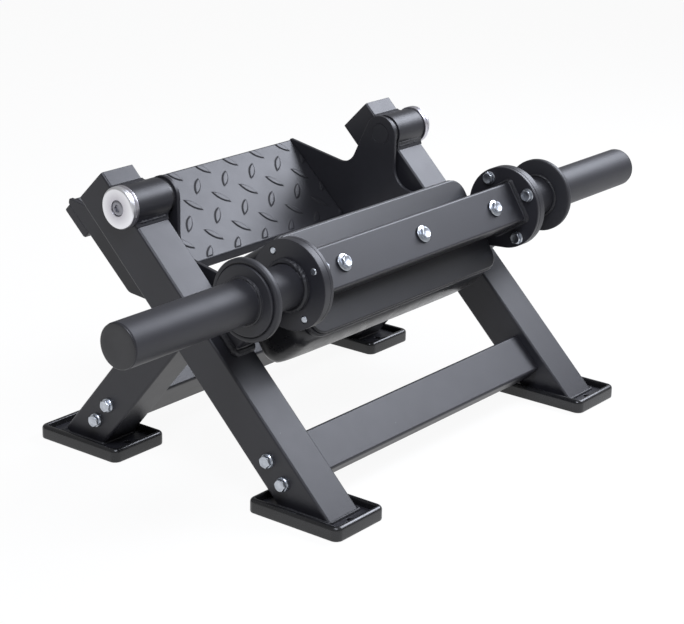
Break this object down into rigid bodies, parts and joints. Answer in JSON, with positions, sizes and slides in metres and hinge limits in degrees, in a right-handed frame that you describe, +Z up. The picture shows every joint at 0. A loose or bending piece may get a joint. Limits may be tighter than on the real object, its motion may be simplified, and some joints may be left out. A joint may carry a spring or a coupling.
{
  "type": "tibialis trainer",
  "caption": "Tibialis trainer: a padded foot cradle with weight horns that swings between two bolted square-tube stands on rubber feet.",
  "frame": {"origin": "middle of the footprint, on the floor, from the overall box at rest", "axes": "+X along the bar to the user's right horn, +Y to the rear where the tread is, +Z up"},
  "size_m": [0.9306, 0.4686, 0.3299],
  "materials": {
    "powder_coat": "satin black powder coat",
    "foot_rubber": "glossy black rubber",
    "zinc_plate": "bright zinc plate",
    "axle_steel": "ground steel",
    "turned_aluminium": "turned, satin",
    "black_nylon": "black nylon",
    "pad_board": "board wrapped in black vinyl",
    "pad_vinyl": "black vinyl over foam"
  },
  "bodies": {
    "stand": {"left_main_tube": "powder_coat", "right_main_tube": "powder_coat", "left_rear_leg": "powder_coat", "right_rear_leg": "powder_coat", "front_crossbar": "powder_coat", "rear_crossbar": "powder_coat", "left_pivot_hub": "powder_coat", "right_pivot_hub": "powder_coat", "left_stop_post": "powder_coat", "right_stop_post": "powder_coat", "front_left_foot_plate": "powder_coat", "front_right_foot_plate": "powder_coat", "rear_left_foot_plate": "powder_coat", "rear_right_foot_plate": "powder_coat", "front_left_foot": "foot_rubber", "front_right_foot": "foot_rubber", "rear_left_foot": "foot_rubber", "rear_right_foot": "foot_rubber", "left_rest_pad": "foot_rubber", "right_rest_pad": "foot_rubber", "front_frame_bolts": "zinc_plate", "rear_frame_bolts": "zinc_plate", "frame_washers": "zinc_plate", "left_bush": "black_nylon", "right_bush": "black_nylon"},
    "cradle": {"left_side_plate": "powder_coat", "right_side_plate": "powder_coat", "tread_plate": "powder_coat", "rear_tie_bar": "powder_coat", "bar_tube": "powder_coat", "left_horn_disc": "powder_coat", "right_horn_disc": "powder_coat", "left_weight_horn": "powder_coat", "right_weight_horn": "powder_coat", "left_collar": "powder_coat", "right_collar": "powder_coat", "left_end_plug": "black_nylon", "right_end_plug": "black_nylon", "disc_bolts": "zinc_plate", "pad_plate": "powder_coat", "pad_board": "pad_board", "toe_pad": "pad_vinyl", "pad_bolts": "zinc_plate", "pad_washers": "zinc_plate", "pad_tee_nuts": "zinc_plate", "left_stub_axle": "axle_steel", "right_stub_axle": "axle_steel", "thrust_washers": "black_nylon", "left_axle_cap": "turned_aluminium", "right_axle_cap": "turned_aluminium", "cap_screws": "zinc_plate"}
  },
  "joints": [
    {"name": "cradle_pivot", "type": "hinge", "parent": "stand", "child": "cradle", "pos_m": [0, 0.07925, 0.29832], "axis": [-1, 0, 0], "range_deg": [0, 48]}
  ]
}
